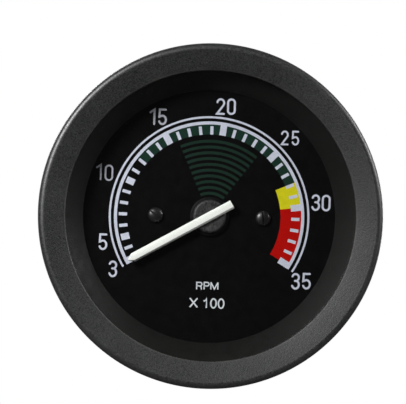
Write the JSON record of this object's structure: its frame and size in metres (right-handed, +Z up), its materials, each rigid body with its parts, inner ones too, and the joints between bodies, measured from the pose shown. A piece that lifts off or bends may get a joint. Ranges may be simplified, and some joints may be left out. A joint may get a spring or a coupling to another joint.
{
  "type": "panel tachometer",
  "caption": "Round panel tachometer with a black bezel, coloured dial and pointer. A flexible shaft turns its magnet, which drags the pointer against a hairspring.",
  "frame": {"origin": "on the instrument's axis, in the plane of the panel face that the bezel rests on", "axes": "+Y along the axis to the back of the instrument, +Z up, +X to the right as the dial is read; the dial looks along -Y"},
  "size_m": [0.086, 0.0687, 0.086],
  "materials": {
    "bezel_finish": "black powder coat, fine grain",
    "instrument_glass": "clear, flat",
    "black_rubber": "matt",
    "shroud_plastic": "satin black, smooth",
    "case_plate": "zinc plated, drawn steel",
    "dial_black": "matt black",
    "scale_ink": "white printing ink",
    "black_screw": "blackened steel, semi-gloss",
    "pointer_white": "satin white",
    "hub_grey": "dark grey, fine grain",
    "turned_brass": "turned, bright",
    "plate_brass": "stamped, dull",
    "bronze": "sintered bronze",
    "plated_screw": "zinc plated",
    "bright_steel": "turned, bright",
    "mild_steel": "pressed, dull",
    "spring_steel": "blued",
    "die_cast": "die cast, satin",
    "cup_aluminium": "pressed, bright",
    "magnet_alloy": "sintered, dull",
    "nickel_iron": "stamped",
    "ruby": "polished jewel",
    "bracket_plate": "zinc plated, yellow tint",
    "nut_brass": "knurled",
    "lamp_metal": "drawn, satin",
    "insulator_brown": "pressed fibre board",
    "cap_brass": "nickel plated",
    "bulb_clear": "blown, clear"
  },
  "bodies": {
    "instrument": {"bezel": "bezel_finish", "glass": "instrument_glass", "glass_gasket": "black_rubber", "shroud_ring": "shroud_plastic", "case_shell": "case_plate", "case_flange": "case_plate", "dial": "dial_black", "scale_print": "scale_ink", "dial_screws": "black_screw", "dial_posts": "turned_brass", "front_plate": "plate_brass", "spindle_bush": "turned_brass", "plate_screws": "plated_screw", "pillars": "bright_steel", "base_casting": "die_cast", "base_screws": "plated_screw", "spring_stud": "turned_brass", "hairspring": "spring_steel", "stop_pins": "bright_steel", "field_cup": "mild_steel", "front_bush": "bronze", "rear_bush": "bronze", "clamp_studs": "plated_screw", "earth_tab": "plate_brass", "earth_rivet": "plated_screw"},
    "pointer": {"pointer_blade": "pointer_white", "pointer_hub": "hub_grey", "pointer_spindle": "bright_steel", "spring_collet": "turned_brass", "stop_arm": "bright_steel", "cup_hub": "turned_brass", "drag_cup": "cup_aluminium"},
    "rotor": {"drive_shaft": "bright_steel", "magnet": "magnet_alloy", "magnet_carrier": "turned_brass", "compensator_ring": "nickel_iron", "pivot_jewel": "ruby", "thrust_washer": "bronze", "retaining_ring": "spring_steel"},
    "bracket": {"clamp_bracket": "bracket_plate", "spring_washers": "spring_steel"},
    "left_nut": {"left_nut": "nut_brass"},
    "right_nut": {"right_nut": "nut_brass"},
    "lamp": {"lamp_holder": "lamp_metal", "lamp_insulator": "insulator_brown", "lamp_tab": "plate_brass", "bulb_cap": "cap_brass", "bulb_glass": "bulb_clear"}
  },
  "joints": [
    {"name": "pointer_swing", "type": "hinge", "parent": "instrument", "child": "pointer", "pos_m": [0, 0, 0], "axis": [0, 1, 0], "range_deg": [0, 243], "stiffness_Nm_per_rad": 0.0003, "springref_deg": -22.5, "deforming": ["hairspring"]},
    {"name": "rotor_spin", "type": "hinge", "parent": "instrument", "child": "rotor", "pos_m": [0, 0, 0], "axis": [0, 1, 0], "continuous": true},
    {"name": "bracket_slide", "type": "slide", "parent": "instrument", "child": "bracket", "axis": [0, 1, 0], "range_m": [-0.0049, 0.0028]},
    {"name": "left_nut_spin", "type": "hinge", "parent": "bracket", "child": "left_nut", "pos_m": [-0.027, 0.05, 0], "axis": [0, 1, 0], "range_deg": [-2520, 1440]},
    {"name": "right_nut_spin", "type": "hinge", "parent": "bracket", "child": "right_nut", "pos_m": [0.027, 0.05, 0], "axis": [0, 1, 0], "range_deg": [-2520, 1440]},
    {"name": "lamp_pull", "type": "slide", "parent": "instrument", "child": "lamp", "axis": [0, 1, 0], "range_m": [0, 0.024]}
  ],
  "couplings": [
    {"joint": "left_nut_spin", "follows": "bracket_slide", "rad_per_m": 8976},
    {"joint": "right_nut_spin", "follows": "bracket_slide", "rad_per_m": 8976}
  ]
}
